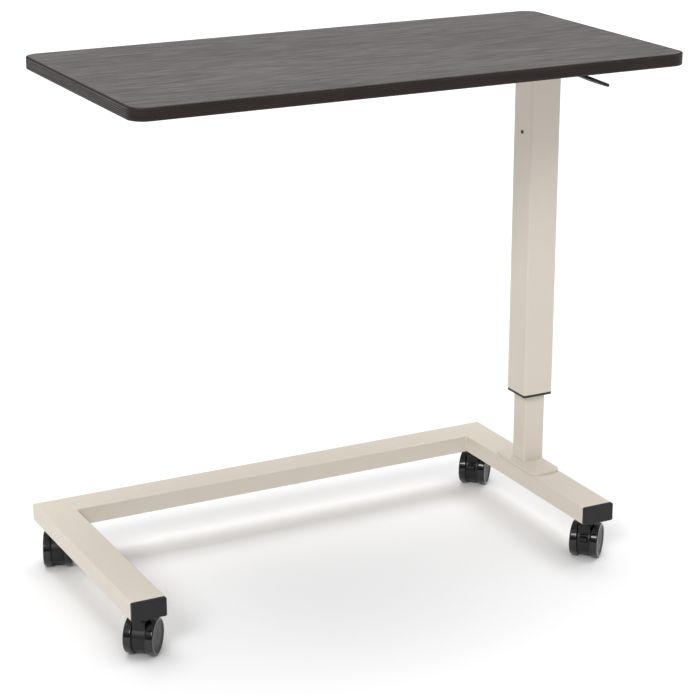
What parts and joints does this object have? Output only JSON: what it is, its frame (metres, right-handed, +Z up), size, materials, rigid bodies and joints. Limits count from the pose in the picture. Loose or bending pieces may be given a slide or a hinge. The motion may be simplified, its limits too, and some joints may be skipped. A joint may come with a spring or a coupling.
{
  "type": "overbed table",
  "caption": "Overbed table: rectangular woodgrain top on a telescopic column at one end, C-shaped steel tube base on casters, squeeze lever for height.",
  "frame": {"origin": "on the floor, under the middle of the whole table's outline", "axes": "+X along the top's length towards the column end, +Y towards the base's cross bar, +Z up"},
  "size_m": [0.7838, 0.381, 0.692],
  "materials": {
    "woodgrain_laminate": "fine woodgrain laminate, soft satin",
    "backing_paper": "plain matt backing sheet",
    "particle_board": "raw particle board",
    "edge_plastic": "ribbed satin edge moulding",
    "cream_paint": "satin powder coat",
    "black_steel_paint": "satin black powder coat",
    "guide_plastic": "matt moulded plastic",
    "cap_plastic": "fine textured moulded plastic",
    "bright_steel": "zinc plated and ground steel",
    "dark_screw": "blackened steel",
    "hood_plastic": "satin moulded plastic",
    "wheel_plastic": "glossy moulded plastic",
    "cover_plastic": "semi-gloss moulded plastic"
  },
  "bodies": {
    "base": {"inner_tube": "cream_paint", "upper_bushing": "guide_plastic", "spring_cylinder": "black_steel_paint", "spring_anchor": "bright_steel", "weld_collar": "cream_paint", "foot_plate": "cream_paint", "foot_rivets": "cream_paint", "left_leg": "cream_paint", "right_leg": "cream_paint", "cross_bar": "cream_paint", "left_end_cap": "cap_plastic", "right_end_cap": "cap_plastic", "caster_sockets": "bright_steel", "caster_stems": "bright_steel"},
    "top_and_column": {"core_board": "particle_board", "laminate_sheet": "woodgrain_laminate", "backing_sheet": "backing_paper", "edge_band": "edge_plastic", "wood_screws": "bright_steel", "column_plate": "black_steel_paint", "end_arm": "black_steel_paint", "support_channel": "black_steel_paint", "outer_tube": "cream_paint", "side_screw": "dark_screw", "guide_collar": "guide_plastic", "release_head": "bright_steel", "spring_rod": "bright_steel", "lever_pin": "bright_steel", "return_spring": "bright_steel"},
    "lever": {"release_lever": "black_steel_paint", "lever_paddle": "cap_plastic"},
    "pin": {"release_pin": "bright_steel"},
    "front_left_caster": {"front_left_hood": "hood_plastic", "front_left_axle": "bright_steel"},
    "front_left_inner_roller": {"front_left_inner_wheel": "wheel_plastic", "front_left_inner_cover": "cover_plastic"},
    "front_left_outer_roller": {"front_left_outer_wheel": "wheel_plastic", "front_left_outer_cover": "cover_plastic"},
    "front_right_caster": {"front_right_hood": "hood_plastic", "front_right_axle": "bright_steel"},
    "front_right_inner_roller": {"front_right_inner_wheel": "wheel_plastic", "front_right_inner_cover": "cover_plastic"},
    "front_right_outer_roller": {"front_right_outer_wheel": "wheel_plastic", "front_right_outer_cover": "cover_plastic"},
    "front_right_brake": {"front_right_pedal": "hood_plastic"},
    "rear_right_caster": {"rear_right_hood": "hood_plastic", "rear_right_axle": "bright_steel"},
    "rear_right_inner_roller": {"rear_right_inner_wheel": "wheel_plastic", "rear_right_inner_cover": "cover_plastic"},
    "rear_right_outer_roller": {"rear_right_outer_wheel": "wheel_plastic", "rear_right_outer_cover": "cover_plastic"},
    "rear_right_brake": {"rear_right_pedal": "hood_plastic"},
    "rear_left_caster": {"rear_left_hood": "hood_plastic", "rear_left_axle": "bright_steel"},
    "rear_left_inner_roller": {"rear_left_inner_wheel": "wheel_plastic", "rear_left_inner_cover": "cover_plastic"},
    "rear_left_outer_roller": {"rear_left_outer_wheel": "wheel_plastic", "rear_left_outer_cover": "cover_plastic"}
  },
  "joints": [
    {"name": "column_lift", "type": "slide", "parent": "base", "child": "top_and_column", "axis": [0, 0, 1], "range_m": [0, 0.305]},
    {"name": "lever_squeeze", "type": "hinge", "parent": "top_and_column", "child": "lever", "pos_m": [0.32385, 0, 0.658], "axis": [0, -1, 0], "range_deg": [0, 10], "stiffness_Nm_per_rad": 3},
    {"name": "pin_press", "type": "slide", "parent": "top_and_column", "child": "pin", "axis": [0, 0, -1], "range_m": [0, 0.00683], "stiffness_N_per_m": 60, "deforming": ["return_spring"]},
    {"name": "front_left_swivel", "type": "hinge", "parent": "base", "child": "front_left_caster", "pos_m": [-0.36615, -0.153, 0], "axis": [0, 0, 1], "continuous": true},
    {"name": "front_left_inner_roll", "type": "hinge", "parent": "front_left_caster", "child": "front_left_inner_roller", "pos_m": [-0.36221, -0.14847, 0.024], "axis": [0.7547, -0.6561, 0], "continuous": true},
    {"name": "front_left_outer_roll", "type": "hinge", "parent": "front_left_caster", "child": "front_left_outer_roller", "pos_m": [-0.36221, -0.14847, 0.024], "axis": [0.7547, -0.6561, 0], "continuous": true},
    {"name": "front_right_swivel", "type": "hinge", "parent": "base", "child": "front_right_caster", "pos_m": [0.28585, -0.153, 0], "axis": [0, 0, 1], "continuous": true},
    {"name": "front_right_inner_roll", "type": "hinge", "parent": "front_right_caster", "child": "front_right_inner_roller", "pos_m": [0.29017, -0.14883, 0.024], "axis": [0.6947, -0.7193, 0], "continuous": true},
    {"name": "front_right_outer_roll", "type": "hinge", "parent": "front_right_caster", "child": "front_right_outer_roller", "pos_m": [0.29017, -0.14883, 0.024], "axis": [0.6947, -0.7193, 0], "continuous": true},
    {"name": "front_right_brake_press", "type": "hinge", "parent": "front_right_caster", "child": "front_right_brake", "pos_m": [0.27938, -0.15925, 0.033], "axis": [0.6947, -0.7193, 0], "range_deg": [0, 12]},
    {"name": "rear_right_swivel", "type": "hinge", "parent": "base", "child": "rear_right_caster", "pos_m": [0.28585, 0.147, 0], "axis": [0, 0, 1], "continuous": true},
    {"name": "rear_right_inner_roll", "type": "hinge", "parent": "rear_right_caster", "child": "rear_right_inner_roller", "pos_m": [0.29002, 0.15132, 0.024], "axis": [0.7193, -0.6947, 0], "continuous": true},
    {"name": "rear_right_outer_roll", "type": "hinge", "parent": "rear_right_caster", "child": "rear_right_outer_roller", "pos_m": [0.29002, 0.15132, 0.024], "axis": [0.7193, -0.6947, 0], "continuous": true},
    {"name": "rear_right_brake_press", "type": "hinge", "parent": "rear_right_caster", "child": "rear_right_brake", "pos_m": [0.2796, 0.14053, 0.033], "axis": [0.7193, -0.6947, 0], "range_deg": [0, 12]},
    {"name": "rear_left_swivel", "type": "hinge", "parent": "base", "child": "rear_left_caster", "pos_m": [-0.36615, 0.147, 0], "axis": [0, 0, 1], "continuous": true},
    {"name": "rear_left_inner_roll", "type": "hinge", "parent": "rear_left_caster", "child": "rear_left_inner_roller", "pos_m": [-0.36371, 0.15248, 0.024], "axis": [0.9135, -0.4067, 0], "continuous": true},
    {"name": "rear_left_outer_roll", "type": "hinge", "parent": "rear_left_caster", "child": "rear_left_outer_roller", "pos_m": [-0.36371, 0.15248, 0.024], "axis": [0.9135, -0.4067, 0], "continuous": true}
  ],
  "couplings": [
    {"joint": "pin_press", "follows": "lever_squeeze", "m_per_rad": 0.038}
  ]
}
